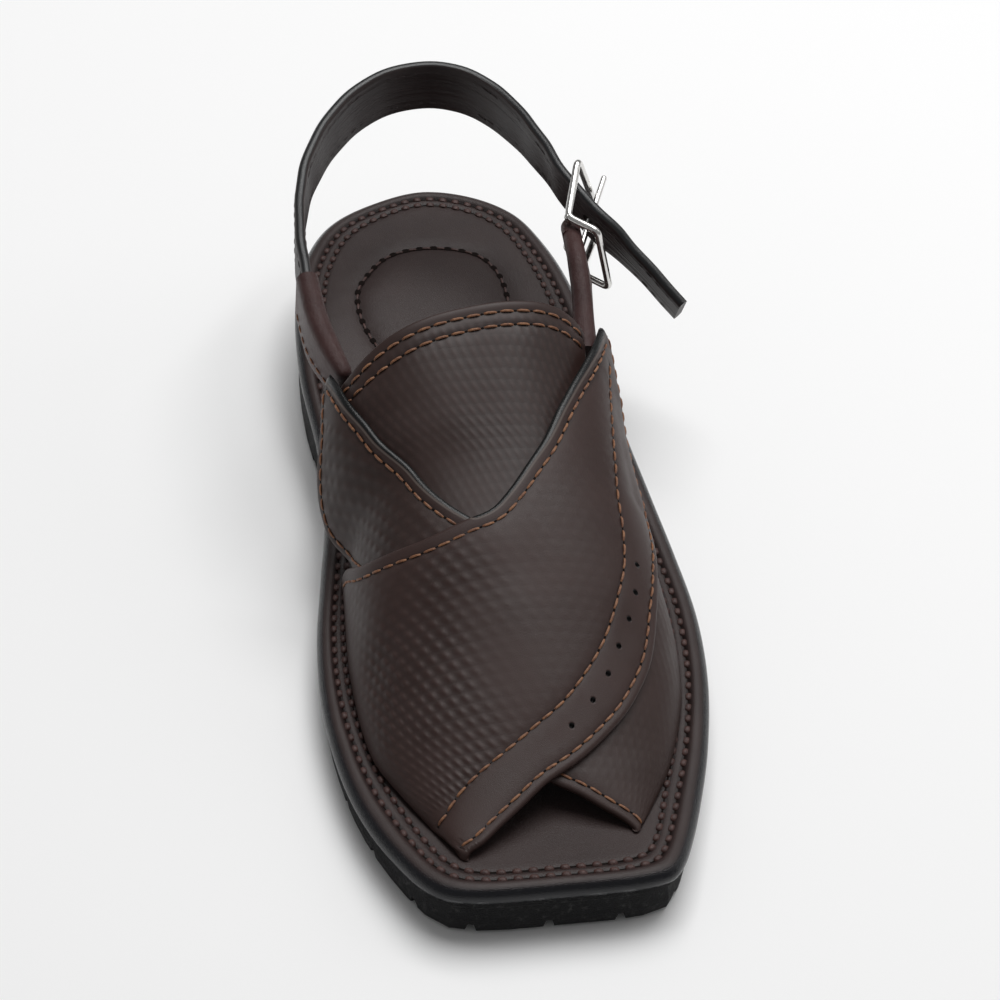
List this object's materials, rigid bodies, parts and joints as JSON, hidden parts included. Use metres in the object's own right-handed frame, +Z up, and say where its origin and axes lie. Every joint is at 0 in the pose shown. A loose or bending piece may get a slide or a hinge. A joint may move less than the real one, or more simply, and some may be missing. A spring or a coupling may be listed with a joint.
{
  "type": "peshawari chappal",
  "caption": "Open-toed leather sandal with crossed vamp panels, arched tongue, wire-buckled heel strap and square-toed rubber sole.",
  "frame": {"origin": "on the floor under the middle of the heel, a sixth of the length in from the heel's end", "axes": "+Z up, -Y towards the toe, +X towards the lateral (outer) side of this left shoe"},
  "size_m": [0.1205, 0.285, 0.0816],
  "materials": {
    "rubber_outsole": "black rubber, fine grain, dull sheen",
    "footbed_leather": "dark brown leather over board, glossy black painted rim side",
    "upper_leather": "dark brown leather embossed with a fine weave, satin",
    "tongue_leather": "dark brown leather embossed with a fine weave, satin",
    "sleeve_leather": "reddish brown leather, soft sheen",
    "loop_leather": "reddish brown leather, soft sheen",
    "strap_leather": "black lining with painted edges, dark brown outer face",
    "buckle_nickel": "bright nickel plated wire",
    "prong_nickel": "bright nickel plated wire"
  },
  "bodies": {
    "root": {"outsole": "rubber_outsole", "footbed": "footbed_leather", "upper": "upper_leather", "tongue": "tongue_leather", "medial_sleeve": "sleeve_leather", "buckle_loop": "loop_leather", "heel_strap": "strap_leather", "buckle_frame": "buckle_nickel", "buckle_prong": "prong_nickel"}
  },
  "joints": []
}
